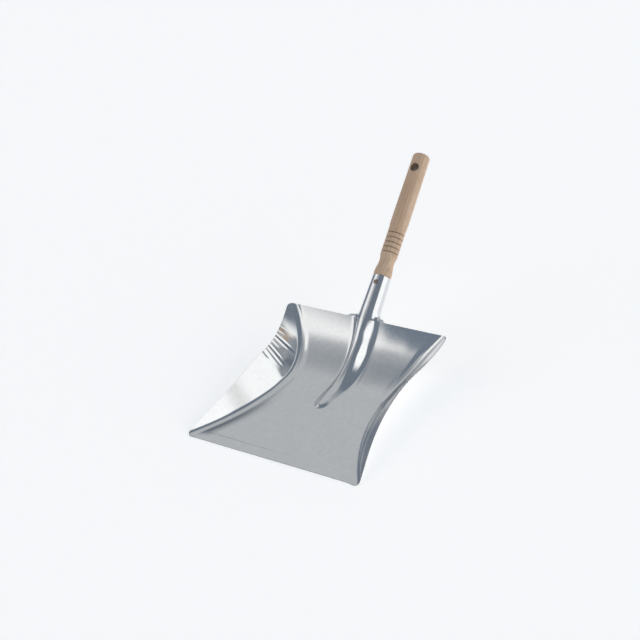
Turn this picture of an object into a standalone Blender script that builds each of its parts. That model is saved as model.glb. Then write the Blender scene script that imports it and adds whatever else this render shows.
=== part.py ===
"""Hand shovel: a pan pressed and rolled from one steel sheet, a turned handle and its nail.

Frame: the mouth faces -Y, the handle rises towards +Y, +Z is up and X = 0 is the plane of
symmetry. The flat floor of the pan stands on Z = 0, and the origin lies under the middle of
the whole object. Lengths are in metres and angles in degrees.

The pan is worked out on its flat blank. A station s runs along the middle of the sheet from
the mouth to the back edge, and a runs across it from the middle to the side edge. The floor
curves up into the back wall, the side flaps are folded along curved creases, a rib is raised
along the middle, and the tongue behind the back edge is rolled into the handle's socket.
"""
import math

import bmesh
import bpy
import numpy as np
from mathutils import Matrix, Vector

# Sheet and blank
SHEET = 0.0008
PAN_WIDTH = 0.230
FRONT_CORNER = 0.006
BACK_CORNER = 0.008
EDGE_WAIST = 0.0035        # how far the side edges of the blank are cut in
WAIST_LENGTH = 0.155

# Floor and back wall, in side view
FLOOR_LENGTH = 0.150
WALL_RADIUS = 0.105
WALL_ANGLE = 60.8

# Curved creases between floor and side flaps
CREASE_HALF_WIDTH = 0.0696
CREASE_STATION = 0.152     # station where the creases come closest together
CREASE_BACK_RATE = 3.2     # spread behind that station, in metres for each metre squared
FLAP_ANGLE = 51.0
CREASE_HALF_BEND = 0.0035

# Rib
RIB_START = 0.1085
RIB_NOSE = 0.020
RIB_RISE_END = 0.190
RIB_HALF_WIDTH = 0.0140
RIB_HEIGHT = 0.0116
RIB_DROP_START = 0.242
RIB_WIDEN_START = 0.190
RIB_END_HALF_WIDTH = 0.0200
RIB_END_HEIGHT = 0.0085
RIB_CREST_SHARE = 0.60     # share of the rib's outline that is the convex crest
RIB_END_CREST_SHARE = 0.50
RIB_FIRST_WIDTH = 0.35     # width of the rib's mesh columns ahead of the nose

# Socket
HANDLE_ANGLE = 42.5
RIM_Y = 0.2888             # centre of the socket's mouth
RIM_Z = 0.0904
SOCKET_RADIUS = 0.0117     # to the middle of the sheet, at the mouth
SOCKET_ROOT_RADIUS = 0.0136
SOCKET_BLEND = 0.014       # length over which the rib's section becomes a tube
LEAN_RUN = 0.009           # length over which the section turns square to the socket
TONGUE_ROOT = 0.024        # half width of the tongue behind its fillets
TONGUE_FILLET = 0.007
ROOT_EDGE = 0.0275         # distance from the middle where the tongue's fillet starts
SEAM_GAP = 0.0009

# Handle, measured along its axis from the socket's mouth
GAP = 0.0003
TENON_LENGTH = 0.034
TENON_RADIUS = SOCKET_RADIUS - SHEET / 2 - GAP
COLLAR_RADIUS = 0.0116
NECK_AT = 0.0215
NECK_RADIUS = 0.0099
GROOVE_FIRST = 0.0332
GROOVE_PITCH = 0.00673
GROOVE_COUNT = 5
GROOVE_DEPTH = 0.0007
GROOVE_HALF_WIDTH = 0.0011
BEAD_RADIUS = 0.0114
GRIP_AT = 0.076
GRIP_RADIUS = 0.0120
END_RADIUS = 0.0115
HANDLE_LENGTH = 0.1745
END_ROUND = 0.0045
HANGING_HOLE_AT = 0.1524
HANGING_HOLE_RADIUS = 0.0057

# Nail
NAIL_AT = -0.0103
NAIL_HOLE_RADIUS = 0.0033
NAIL_HEAD_RADIUS = 0.0028
NAIL_HEAD_HEIGHT = 0.0012
NAIL_SHANK_RADIUS = 0.0011
NAIL_LENGTH = 0.017
NAIL_POINT = 0.003
NAIL_SUNK = 0.0006         # depth of the head's face below the sheet's outer face

# Mesh density
ROUND_STEPS = 32
SMALL_ROUND_STEPS = 16
SMOOTH_ANGLE = 35.0
RIB_COLUMNS = 9
FLANGE_COLUMNS = 6
FLOOR_COLUMNS = 4
BEND_COLUMNS = 4
FLAP_COLUMNS = 3
THIN = 0.0007              # least width kept for each group of columns at a corner

HALF_WIDTH = PAN_WIDTH / 2
WALL_TURN = math.radians(WALL_ANGLE)
FOLD = math.radians(FLAP_ANGLE)
INCLINE = math.radians(HANDLE_ANGLE)
BACK_STATION = FLOOR_LENGTH + WALL_RADIUS * WALL_TURN
CREASE_FRONT_RATE = (HALF_WIDTH - CREASE_HALF_WIDTH) / CREASE_STATION ** 2
AXIS = Vector((0, math.cos(INCLINE), math.sin(INCLINE)))
AXIS_UP = Vector((0, -math.sin(INCLINE), math.cos(INCLINE)))
RIM = Vector((0, RIM_Y, RIM_Z))
SIDEWAYS = Vector((1, 0, 0))


def ramp(value, start, end):
    """Smooth step from 0 at start to 1 at end."""
    t = min(max((value - start) / (end - start), 0.0), 1.0)
    return t * t * (3 - 2 * t)


def along_wall(s):
    """Point, tangent and upward normal of the floor and back wall at station s."""
    turn = max(s - FLOOR_LENGTH, 0.0) / WALL_RADIUS
    point = Vector((0, min(s, FLOOR_LENGTH) + WALL_RADIUS * math.sin(turn),
                    SHEET / 2 + WALL_RADIUS * (1 - math.cos(turn))))
    return (point, Vector((0, math.cos(turn), math.sin(turn))),
            Vector((0, -math.sin(turn), math.cos(turn))))


def crease_at(s):
    """Distance of the crease from the middle, and its slope, at station s."""
    ahead = s - CREASE_STATION
    rate = CREASE_FRONT_RATE if ahead < 0 else CREASE_BACK_RATE
    return CREASE_HALF_WIDTH + rate * ahead ** 2, 2 * rate * ahead


def blank_edge(s):
    """Distance of the blank's side edge from the middle, with its rounded corners."""
    edge = HALF_WIDTH
    if s < WAIST_LENGTH:
        edge -= EDGE_WAIST * math.sin(math.pi * s / WAIST_LENGTH) ** 2
    for corner, reach in ((FRONT_CORNER, s), (BACK_CORNER, BACK_STATION - s)):
        if reach < corner:
            edge -= corner - math.sqrt(max(corner ** 2 - (corner - reach) ** 2, 0.0))
    return edge


def sheet_point(s, a):
    """Middle of the sheet at blank coordinates (s, a), beside the rib and on the flap."""
    point, tangent, normal = along_wall(s)
    crease, slope = crease_at(s)
    start = crease - CREASE_HALF_BEND
    if a <= start:
        return point + a * SIDEWAYS
    run = a - start
    bend = min(run / (2 * CREASE_HALF_BEND), 1.0)
    radius = 2 * CREASE_HALF_BEND / FOLD
    past = max(run - 2 * CREASE_HALF_BEND, 0.0)
    across = radius * math.sin(FOLD * bend) + past * math.cos(FOLD)
    rise = radius * (1 - math.cos(FOLD * bend)) + past * math.sin(FOLD)
    lean = math.atan(-slope)
    sin, cos = math.sin(lean), math.cos(lean)
    return (point + (start + sin ** 2 * run + cos ** 2 * across) * SIDEWAYS
            - sin * cos * (run - across) * tangent + cos * rise * normal)


def rib_size(s):
    """Half width and height of the rib, and its crest's share, at station s."""
    if s <= RIB_START:
        return RIB_HALF_WIDTH * RIB_FIRST_WIDTH, 0.0, RIB_CREST_SHARE
    nose = min((s - RIB_START) / RIB_NOSE, 1.0)
    drop = max((s - RIB_DROP_START) / (BACK_STATION - RIB_DROP_START), 0.0) ** 2
    widen = max((s - RIB_WIDEN_START) / (BACK_STATION - RIB_WIDEN_START), 0.0) ** 1.3
    width = RIB_HALF_WIDTH + (RIB_END_HALF_WIDTH - RIB_HALF_WIDTH) * widen
    width *= max(math.sqrt(1 - (1 - nose) ** 2), RIB_FIRST_WIDTH)
    height = RIB_HEIGHT * ramp(s, RIB_START, RIB_RISE_END)
    share = RIB_CREST_SHARE + (RIB_END_CREST_SHARE - RIB_CREST_SHARE) * widen
    return width, height - (RIB_HEIGHT - RIB_END_HEIGHT) * drop, share


def rib_turn(a, width, height, share):
    """Turn of the rib's outline from level after the length a, going out from the crest."""
    steep = 2 * math.atan2(height, width)
    if steep < 1e-6:
        return 0.0
    radius = width / math.sin(steep)
    crest, foot = share * radius, (1 - share) * radius
    if a < crest * steep:
        return a / crest
    return max(steep - (a - crest * steep) / foot, 0.0)


def rib_length(width, height):
    """Length of the rib's outline from crest to foot."""
    steep = 2 * math.atan2(height, width)
    return width if steep < 1e-6 else width / math.sin(steep) * steep


def outline(lengths, turn):
    """Points (across, down) at the given lengths along a curve whose turn is turn(a)."""
    fine = np.linspace(0, lengths[-1], 400)
    turns = np.array([turn(a) for a in fine])
    middle = (turns[1:] + turns[:-1]) / 2
    step = fine[1] - fine[0]
    across = np.concatenate(([0], np.cumsum(np.cos(middle)) * step))
    down = np.concatenate(([0], np.cumsum(np.sin(middle)) * step))
    return [(float(np.interp(a, fine, across)), float(np.interp(a, fine, down)))
            for a in lengths]


def even(start, end, count):
    """Count values after start, evenly spaced up to end."""
    return [start + (end - start) * (i + 1) / count for i in range(count)]


def pan_row(s):
    """Points of the sheet's middle at station s, from the plane of symmetry outwards."""
    point, tangent, normal = along_wall(s)
    width, height, share = rib_size(s)
    lengths = [0.0] + even(0.0, rib_length(width, height), RIB_COLUMNS)
    rib = outline(lengths, lambda a: rib_turn(a, width, height, share))
    row = [point + across * SIDEWAYS + (height - down) * normal for across, down in rib]
    edge = blank_edge(s)
    crease = crease_at(s)[0]
    flap = min(crease + CREASE_HALF_BEND, edge - THIN)
    bend = min(crease - CREASE_HALF_BEND, flap - THIN)
    spans = (even(width, ROOT_EDGE, FLANGE_COLUMNS), even(ROOT_EDGE, bend, FLOOR_COLUMNS),
             even(bend, flap, BEND_COLUMNS), even(flap, edge, FLAP_COLUMNS))
    return row + [sheet_point(s, a) for span in spans for a in span]


def tongue_row(reach, share):
    """Points of the tongue's middle where its crest is reach past the back edge.

    share holds each point's place as a fraction of the tongue's half width.
    """
    root, _, root_normal = along_wall(BACK_STATION)
    root_crest = root + RIB_END_HEIGHT * root_normal - RIM
    first = root_crest.dot(AXIS)
    place = first + reach
    blend = ramp(reach, 0.0, SOCKET_BLEND)
    run = (place - first) / -first
    radius = SOCKET_ROOT_RADIUS + (SOCKET_RADIUS - SOCKET_ROOT_RADIUS) * run
    crest = radius + (root_crest.dot(AXIS_UP) - SOCKET_ROOT_RADIUS) * (1 - blend)
    lean = (WALL_TURN - INCLINE) * (1 - ramp(reach, 0.0, LEAN_RUN))
    up = math.cos(lean) * AXIS_UP - math.sin(lean) * AXIS
    closed = math.pi * SOCKET_RADIUS - SEAM_GAP / 2
    half = TONGUE_ROOT + (closed - TONGUE_ROOT) * run
    if reach < TONGUE_FILLET:
        half += TONGUE_FILLET - math.sqrt(TONGUE_FILLET ** 2 - (TONGUE_FILLET - reach) ** 2)
    lengths = [half * f for f in share]

    def turn(a):
        rib = rib_turn(a, RIB_END_HALF_WIDTH, RIB_END_HEIGHT, RIB_END_CREST_SHARE)
        return (1 - blend) * rib + blend * a / radius

    origin = RIM + place * AXIS + crest * AXIS_UP
    return [origin + across * SIDEWAYS - down * up for across, down in outline(lengths, turn)]


def corner_stations(radius, steps):
    """Distances from the end of a rounded corner, close together where it is steepest."""
    return [radius * (1 - math.cos(math.pi / 2 * i / steps)) for i in range(steps)]


def pan_stations():
    """Stations of the pan's rows, from the mouth to the back edge."""
    front = corner_stations(FRONT_CORNER, 4)
    back = [BACK_STATION - d for d in reversed(corner_stations(BACK_CORNER, 5))]
    nose = [RIB_START + RIB_NOSE * f for f in (0, 0.04, 0.16, 0.36, 0.65, 1)]
    middle = even(FRONT_CORNER, RIB_START, 8)[:-1]
    rear = even(nose[-1], BACK_STATION - BACK_CORNER, 17)
    return front + [FRONT_CORNER] + middle + nose + rear + back


def new_object(name, shape, material=None):
    """Object from a bmesh, with its material and smooth shading."""
    mesh = bpy.data.meshes.new(name)
    shape.to_mesh(mesh)
    shape.free()
    if material:
        mesh.materials.append(material)
    mesh.shade_smooth()
    mesh.set_sharp_from_angle(angle=math.radians(SMOOTH_ANGLE))
    obj = bpy.data.objects.new(name, mesh)
    bpy.context.scene.collection.objects.link(obj)
    return obj


def new_material(name, colour, roughness, metallic):
    """Principled material with plain values."""
    material = bpy.data.materials.new(name)
    material.use_nodes = True
    shader = material.node_tree.nodes["Principled BSDF"]
    shader.inputs["Base Color"].default_value = (*colour, 1.0)
    shader.inputs["Roughness"].default_value = roughness
    shader.inputs["Metallic"].default_value = metallic
    return material


def place_on_axis(obj, along, square=False):
    """Put an object modelled along Z on the handle's axis, or square to it and pointing up."""
    forward = AXIS_UP if square else AXIS
    turn = Matrix((SIDEWAYS, forward.cross(SIDEWAYS), forward)).transposed()
    obj.matrix_world = Matrix.Translation(RIM + along * AXIS) @ turn.to_4x4()


def turned_object(name, profile, steps, material=None):
    """Object spun about Z from (radius, height) points that run upwards, with flat ends."""
    shape = bmesh.new()
    points = [shape.verts.new((radius, 0.0, height)) for radius, height in profile]
    lines = [shape.edges.new(pair) for pair in zip(points, points[1:])]
    bmesh.ops.spin(shape, geom=points + lines, cent=(0, 0, 0), axis=(0, 0, 1),
                   angle=2 * math.pi, steps=steps, use_merge=True)
    bmesh.ops.holes_fill(shape, edges=shape.edges[:])
    bmesh.ops.recalc_face_normals(shape, faces=shape.faces[:])
    return new_object(name, shape, material)


def cutter(name, radius, low, high, steps):
    """Wire cylinder along Z that only cuts."""
    obj = turned_object(name, [(radius, low), (radius, high)], steps)
    obj.hide_render = True
    obj.display_type = "WIRE"
    return obj


def cut(obj, tool):
    """Take the tool's shape out of the object."""
    modifier = obj.modifiers.new("cut_" + tool.name, "BOOLEAN")
    modifier.operation = "DIFFERENCE"
    modifier.solver = "EXACT"
    modifier.object = tool


def tongue_reaches():
    """Distances of the tongue's rows past the back edge, up to the socket's mouth."""
    root, _, normal = along_wall(BACK_STATION)
    full = -(root + RIB_END_HEIGHT * normal - RIM).dot(AXIS)
    fillet = corner_stations(TONGUE_FILLET, 5)[1:] + [TONGUE_FILLET]
    return fillet + even(TONGUE_FILLET, full, 12)


def draw_out(shape, columns, row):
    """Extrude an open row of vertices and put the new ones on the row's points.

    columns maps each vertex of the open row to its column; the new row's map is returned.
    """
    edges = [e for e in shape.edges if e.is_boundary and all(v in columns for v in e.verts)]
    grown = bmesh.ops.extrude_edge_only(shape, edges=edges)["geom"]
    new_columns = {}
    for vertex in (g for g in grown if isinstance(g, bmesh.types.BMVert)):
        near = [e.other_vert(vertex) for e in vertex.link_edges]
        new_columns[vertex] = next(columns[v] for v in near if v in columns)
    for vertex, column in new_columns.items():
        vertex.co = row[column]
    return new_columns


def make_pan(steel):
    """The pressed sheet: floor, wall, flaps, rib and rolled socket."""
    rows = [pan_row(s) for s in pan_stations()]
    across, along = len(rows[0]) - 1, len(rows) - 1
    shape = bmesh.new()
    bmesh.ops.create_grid(shape, x_segments=across, y_segments=along, size=1.0)
    inner = RIB_COLUMNS + FLANGE_COLUMNS
    open_row = {}
    for vertex in shape.verts:
        column = round((vertex.co.x + 1) / 2 * across)
        row = round((vertex.co.y + 1) / 2 * along)
        vertex.co = rows[row][column]
        if row == along and column <= inner:
            open_row[vertex] = column
    rib = rib_length(RIB_END_HALF_WIDTH, RIB_END_HEIGHT)
    root = rib + ROOT_EDGE - RIB_END_HALF_WIDTH
    lengths = [0.0] + even(0.0, rib, RIB_COLUMNS) + even(rib, root, FLANGE_COLUMNS)
    share = [a / root for a in lengths]
    for reach in tongue_reaches():
        open_row = draw_out(shape, open_row, tongue_row(reach, share))
    pan = new_object("pan", shape, steel)
    mirror = pan.modifiers.new("halves", "MIRROR")
    mirror.merge_threshold = 0.00001
    thicken = pan.modifiers.new("sheet", "SOLIDIFY")
    thicken.thickness = SHEET
    thicken.offset = 0.0
    thicken.use_even_offset = True
    hole = cutter("nail_hole", NAIL_HOLE_RADIUS, 0.0, 2 * SOCKET_RADIUS, SMALL_ROUND_STEPS)
    place_on_axis(hole, NAIL_AT, square=True)
    cut(pan, hole)
    return pan


def handle_profile():
    """(radius, height) points of the handle, from the foot of the tenon to the end."""
    points = [(TENON_RADIUS - 0.0012, -TENON_LENGTH), (TENON_RADIUS, -TENON_LENGTH + 0.0012),
              (TENON_RADIUS, GAP), (COLLAR_RADIUS - 0.0003, GAP), (COLLAR_RADIUS, 0.0018),
              (COLLAR_RADIUS, 0.0045), (COLLAR_RADIUS - 0.0004, 0.0080),
              (NECK_RADIUS + 0.0006, 0.0130), (NECK_RADIUS, NECK_AT),
              (NECK_RADIUS + 0.0007, 0.0270), (BEAD_RADIUS - 0.0004, 0.0310)]
    for i in range(GROOVE_COUNT):
        at = GROOVE_FIRST + i * GROOVE_PITCH
        points += [(BEAD_RADIUS, at - GROOVE_HALF_WIDTH), (BEAD_RADIUS - GROOVE_DEPTH, at),
                   (BEAD_RADIUS, at + GROOVE_HALF_WIDTH)]
    last = GROOVE_FIRST + (GROOVE_COUNT - 1) * GROOVE_PITCH + GROOVE_HALF_WIDTH
    for at in even(last, GRIP_AT, 2):
        points.append((BEAD_RADIUS + (GRIP_RADIUS - BEAD_RADIUS) * ramp(at, last, GRIP_AT), at))
    straight = HANDLE_LENGTH - END_ROUND
    for at in even(GRIP_AT, straight, 4):
        points.append((GRIP_RADIUS + (END_RADIUS - GRIP_RADIUS) * ramp(at, GRIP_AT, straight), at))
    for i in range(1, 5):
        angle = math.pi / 2 * i / 4
        points.append((END_RADIUS - END_ROUND * (1 - math.cos(angle)),
                       straight + END_ROUND * math.sin(angle)))
    return points


def make_handle(wood):
    """The turned handle, with its tenon, its hanging hole and the nail's bore."""
    handle = turned_object("handle", handle_profile(), ROUND_STEPS, wood)
    place_on_axis(handle, 0.0)
    reach = 2 * GRIP_RADIUS
    hole = cutter("hanging_hole", HANGING_HOLE_RADIUS, -reach, reach, SMALL_ROUND_STEPS + 8)
    place_on_axis(hole, HANGING_HOLE_AT, square=True)
    cut(handle, hole)
    top = SOCKET_RADIUS + SHEET / 2 - NAIL_SUNK
    seat = cutter("nail_seat", NAIL_HEAD_RADIUS + GAP, top - NAIL_HEAD_HEIGHT - GAP, reach,
                  SMALL_ROUND_STEPS)
    bore = cutter("nail_bore", NAIL_SHANK_RADIUS + GAP, top - NAIL_LENGTH - GAP, reach,
                  SMALL_ROUND_STEPS)
    for tool in (seat, bore):
        place_on_axis(tool, NAIL_AT, square=True)
        cut(handle, tool)
    return handle


def make_nail(steel):
    """The flat-headed nail that holds the tenon in the socket."""
    top = SOCKET_RADIUS + SHEET / 2 - NAIL_SUNK
    profile = [(0.0002, top - NAIL_LENGTH), (NAIL_SHANK_RADIUS, top - NAIL_LENGTH + NAIL_POINT),
               (NAIL_SHANK_RADIUS, top - NAIL_HEAD_HEIGHT),
               (NAIL_HEAD_RADIUS, top - NAIL_HEAD_HEIGHT + 0.0003),
               (NAIL_HEAD_RADIUS, top - 0.0002), (NAIL_HEAD_RADIUS - 0.0003, top)]
    nail = turned_object("nail", profile, SMALL_ROUND_STEPS, steel)
    place_on_axis(nail, NAIL_AT, square=True)
    return nail


def centre(objects):
    """Move everything so that the origin lies under the middle of the object."""
    bpy.context.view_layer.update()
    graph = bpy.context.evaluated_depsgraph_get()
    reach = []
    for obj in objects:
        final = obj.evaluated_get(graph)
        reach += [(final.matrix_world @ v.co).y for v in final.data.vertices]
    shift = Matrix.Translation((0, -(min(reach) + max(reach)) / 2, 0))
    for obj in bpy.context.scene.objects:
        obj.matrix_world = shift @ obj.matrix_world


def main():
    for obj in list(bpy.data.objects):
        bpy.data.objects.remove(obj, do_unlink=True)
    sheet_steel = new_material("zinc_plated_steel", (0.42, 0.44, 0.46), 0.28, 1.0)
    beech = new_material("beech", (0.52, 0.36, 0.23), 0.55, 0.0)
    nail_steel = new_material("nail_steel", (0.30, 0.27, 0.25), 0.45, 1.0)
    centre([make_pan(sheet_steel), make_handle(beech), make_nail(nail_steel)])


main()
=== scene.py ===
"""Looks of the hand shovel: a pressed zinc-plated pan, a turned beech handle and a nail.

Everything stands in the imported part's own frame, in metres: the mouth faces -Y, the handle
rises towards +Y and X = 0 is the middle plane. Along the sheet, s is the station of a row, its
distance from the mouth, and a is the distance from the middle to a point of that row.
"""
import logging
import math
from dataclasses import dataclass, field
from enum import Enum
from typing import Callable, Iterable, Optional, Sequence, Union

import bpy
import numpy as np
from mathutils import Matrix, Vector


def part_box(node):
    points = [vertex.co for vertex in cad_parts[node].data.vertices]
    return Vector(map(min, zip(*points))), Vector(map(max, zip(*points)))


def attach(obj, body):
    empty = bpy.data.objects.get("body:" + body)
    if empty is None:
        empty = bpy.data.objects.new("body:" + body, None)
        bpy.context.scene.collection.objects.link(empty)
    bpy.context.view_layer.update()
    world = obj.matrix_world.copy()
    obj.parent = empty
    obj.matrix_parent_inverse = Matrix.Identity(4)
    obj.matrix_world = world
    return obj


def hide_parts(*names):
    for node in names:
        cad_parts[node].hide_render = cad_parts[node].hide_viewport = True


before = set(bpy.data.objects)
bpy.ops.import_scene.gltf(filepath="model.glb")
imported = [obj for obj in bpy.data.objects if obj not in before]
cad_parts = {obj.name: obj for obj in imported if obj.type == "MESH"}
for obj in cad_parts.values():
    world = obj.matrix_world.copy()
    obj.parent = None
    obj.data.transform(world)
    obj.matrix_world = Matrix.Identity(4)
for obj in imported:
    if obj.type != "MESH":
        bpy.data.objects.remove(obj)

log = logging.getLogger("hand_shovel")
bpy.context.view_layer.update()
BODY = "root"


class Slot(Enum):
    """Material slots of the record."""

    SHEET = "sheet_steel"
    WOOD = "wood"
    NAIL = "nail_steel"


class Square(Enum):
    """How a piece modelled along Z stands against the handle's axis."""

    ALONG = "along the axis"
    ACROSS = "square to the axis, pointing up"


Colour = tuple[float, float, float]
Span = tuple[float, float]


# ---------------------------------------------------------------- small maths


def ramp(value: float, start: float, end: float) -> float:
    """Smooth step from 0 at start to 1 at end."""
    t = min(max((value - start) / (end - start), 0.0), 1.0)
    return t * t * (3 - 2 * t)


def between(first: float, last: float, share: float) -> float:
    """Value between first and last by share."""
    return first + (last - first) * share


def even(start: float, end: float, count: int) -> list[float]:
    """Count values after start, evenly spaced up to end."""
    return [start + (end - start) * (i + 1) / count for i in range(count)]


def corner_steps(radius: float, steps: int) -> list[float]:
    """Distances from the end of a rounded corner, closest together at its steep end."""
    return [radius * (1 - math.cos(math.pi / 2 * i / steps)) for i in range(steps)]


# ---------------------------------------------------------------- operators


def deselect() -> None:
    """Leave edit mode and select nothing."""
    if bpy.context.object and bpy.context.object.mode != "OBJECT":
        bpy.ops.object.mode_set(mode="OBJECT")
    bpy.ops.object.select_all(action="DESELECT")


def pick(obj: bpy.types.Object) -> None:
    """Make obj the only selected object and the active one."""
    deselect()
    obj.select_set(True)
    bpy.context.view_layer.objects.active = obj


def added(name: str) -> bpy.types.Object:
    """The object that the last primitive operator made, with a name of its own."""
    obj = bpy.context.active_object
    obj.name = name
    obj.data.name = name
    return obj


def apply_modifier(obj: bpy.types.Object, kind: str, **settings: object) -> None:
    """Give obj a modifier and apply it.

    Args:
        obj: The piece.
        kind: The modifier's type.
        settings: The modifier's properties.
    """
    modifier = obj.modifiers.new(kind.lower(), kind)
    for key, value in settings.items():
        setattr(modifier, key, value)
    pick(obj)
    bpy.ops.object.modifier_apply(modifier=modifier.name)


def cut(obj: bpy.types.Object, tool: bpy.types.Object) -> None:
    """Take the tool's shape out of obj and remove the tool."""
    apply_modifier(obj, "BOOLEAN", operation="DIFFERENCE", solver="EXACT", object=tool)
    bpy.data.objects.remove(tool, do_unlink=True)


def smooth(obj: bpy.types.Object, angle: float) -> None:
    """Shade obj smooth, with sharp edges above an angle in degrees."""
    pick(obj)
    bpy.ops.object.shade_smooth_by_angle(angle=math.radians(angle))


def drawn(name: str, profile: Sequence[tuple[float, float]], sides: int,
          insets: Sequence[tuple[float, float]] = ()) -> bpy.types.Object:
    """A round closed piece about Z, drawn from a disc by extruding and scaling its end.

    Args:
        name: The new object's name.
        profile: (radius, height) points from one end to the other.
        sides: Points round the piece.
        insets: (thickness, depth) of each ring worked into the last end.

    Returns:
        The piece, with its faces turned outwards.
    """
    radius, height = profile[0]
    deselect()
    bpy.ops.mesh.primitive_circle_add(vertices=sides, radius=radius, fill_type="NGON",
                                      location=(0, 0, height))
    piece = added(name)
    bpy.ops.object.mode_set(mode="EDIT")
    bpy.ops.mesh.select_all(action="SELECT")
    for (near, start), (far, end) in zip(profile, profile[1:]):
        bpy.ops.mesh.extrude_region_move(TRANSFORM_OT_translate={"value": (0, 0, end - start)})
        bpy.ops.transform.resize(value=(far / near, far / near, 1.0),
                                 center_override=(0, 0, end))
    for thickness, depth in insets:
        bpy.ops.mesh.inset(thickness=thickness, depth=depth)
    bpy.ops.mesh.select_all(action="SELECT")
    bpy.ops.mesh.normals_make_consistent(inside=False)
    bpy.ops.object.mode_set(mode="OBJECT")
    bpy.ops.object.transform_apply(location=True, rotation=True, scale=True)
    return piece


def placed(piece: bpy.types.Object, matrix: Matrix, material: bpy.types.Material,
           angle: float) -> bpy.types.Object:
    """Put a piece in its place, in its mesh, and give it its finish.

    Args:
        piece: The piece, modelled about Z.
        matrix: Its place.
        material: Its finish.
        angle: Edges sharper than this, in degrees, stay sharp.

    Returns:
        The piece.
    """
    piece.data.transform(matrix)
    piece.data.materials.clear()
    piece.data.materials.append(material)
    smooth(piece, angle)
    return piece


# ---------------------------------------------------------------- shader maths

Value = Union["Socket", float, Sequence[float]]


class Socket:
    """An output socket whose operators add Math or Vector Math nodes."""

    def __init__(self, graph: "Graph", socket: bpy.types.NodeSocket) -> None:
        """Keep the graph and the socket."""
        self.graph = graph
        self.socket = socket

    def __add__(self, other: Value) -> "Socket":
        """Sum."""
        return self.graph.math("ADD", self, other)

    __radd__ = __add__

    def __sub__(self, other: Value) -> "Socket":
        """Difference."""
        return self.graph.math("SUBTRACT", self, other)

    def __rsub__(self, other: Value) -> "Socket":
        """Difference with the sides exchanged."""
        return self.graph.math("SUBTRACT", other, self)

    def __mul__(self, other: Value) -> "Socket":
        """Product."""
        return self.graph.math("MULTIPLY", self, other)

    __rmul__ = __mul__

    def __truediv__(self, other: Value) -> "Socket":
        """Quotient."""
        return self.graph.math("DIVIDE", self, other)

    def __pow__(self, other: Value) -> "Socket":
        """Power."""
        return self.graph.math("POWER", self, other)

    def abs(self) -> "Socket":
        """Absolute value."""
        return self.graph.math("ABSOLUTE", self)

    def least(self, other: Value) -> "Socket":
        """The lesser of two values."""
        return self.graph.math("MINIMUM", self, other)

    def most(self, other: Value) -> "Socket":
        """The greater of two values."""
        return self.graph.math("MAXIMUM", self, other)

    def step(self, low: float, high: float) -> "Socket":
        """Smooth step from 0 at low to 1 at high; high may lie below low.

        Args:
            low: Value where the step starts.
            high: Value where the step ends.

        Returns:
            The stepped value.
        """
        start, end, first, last = (low, high, 0.0, 1.0) if low < high else (high, low, 1.0, 0.0)
        return self.graph.node("ShaderNodeMapRange", {"interpolation_type": "SMOOTHSTEP"},
                               self, start, end, first, last)


class Graph:
    """A node tree that is filled from expressions."""

    def __init__(self, tree: bpy.types.NodeTree) -> None:
        """Keep the tree."""
        self.tree = tree

    def node(self, kind: str, settings: Optional[dict] = None, *values: Value,
             out: Union[int, str] = 0, **named: Value) -> Socket:
        """Add one node.

        Args:
            kind: The node's type.
            settings: Properties set before the sockets.
            values: Values or links of the first sockets, in order.
            out: The output wanted, by place or name.
            named: Values or links of sockets by name, with _ for a space.

        Returns:
            The wanted output.
        """
        node = self.tree.nodes.new(kind)
        for key, value in (settings or {}).items():
            setattr(node, key, value)
        for place, value in enumerate(values):
            self.feed(node.inputs[place], value)
        self.fit(node, **named)
        return Socket(self, node.outputs[out])

    def fit(self, node: bpy.types.Node, **named: Value) -> None:
        """Feed a node's sockets by name, with _ for a space."""
        for key, value in named.items():
            self.feed(node.inputs[key.replace("_", " ")], value)

    def feed(self, target: bpy.types.NodeSocket, value: Value) -> None:
        """Link a socket into target, or set target's own value."""
        if isinstance(value, Socket):
            self.tree.links.new(value.socket, target)
        elif isinstance(value, (tuple, list)) and len(value) == 3 and target.type == "RGBA":
            target.default_value = (*value, 1.0)
        else:
            target.default_value = value

    def mix(self, share: Value, first: Value, second: Value) -> Socket:
        """Colour between first and second by share."""
        node = self.tree.nodes.new("ShaderNodeMix")
        node.data_type = "RGBA"
        self.feed(node.inputs["Factor"], share)
        self.feed(node.inputs[6], first)
        self.feed(node.inputs[7], second)
        return Socket(self, node.outputs[2])

    def place(self) -> Socket:
        """Position on the piece, in metres."""
        return self.node("ShaderNodeTexCoord", out="Object")

    def mapped(self, source: Socket, scale: Sequence[float],
               location: Sequence[float] = (0.0, 0.0, 0.0),
               rotation: Sequence[float] = (0.0, 0.0, 0.0), kind: str = "POINT") -> Socket:
        """A position turned, moved and scaled.

        Args:
            source: The position.
            scale: Factors along the three axes.
            location: Shift.
            rotation: Euler angles in radians.
            kind: The Mapping node's vector type.

        Returns:
            The new position.
        """
        return self.node("ShaderNodeMapping", {"vector_type": kind}, source,
                         Location=location, Rotation=rotation, Scale=scale)

    def noise(self, source: Socket, scale: float, detail: float = 3.0,
              roughness: float = 0.5) -> Socket:
        """Noise between 0 and 1."""
        return self.node("ShaderNodeTexNoise", None, Vector=source, Scale=scale,
                         Detail=detail, Roughness=roughness)

    def bump(self, height: Socket, strength: float, distance: float) -> Socket:
        """Normal that a height bends."""
        return self.node("ShaderNodeBump", None, Strength=strength, Distance=distance,
                         Height=height)

    def math(self, operation: str, *values: Value) -> Socket:
        """A Math node of that operation on the values."""
        return self.node("ShaderNodeMath", {"operation": operation}, *values)

    def split(self, source: Socket) -> tuple[Socket, Socket, Socket]:
        """The three coordinates of a position."""
        node = self.node("ShaderNodeSeparateXYZ", None, source).socket.node
        return tuple(Socket(self, output) for output in node.outputs)


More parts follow.
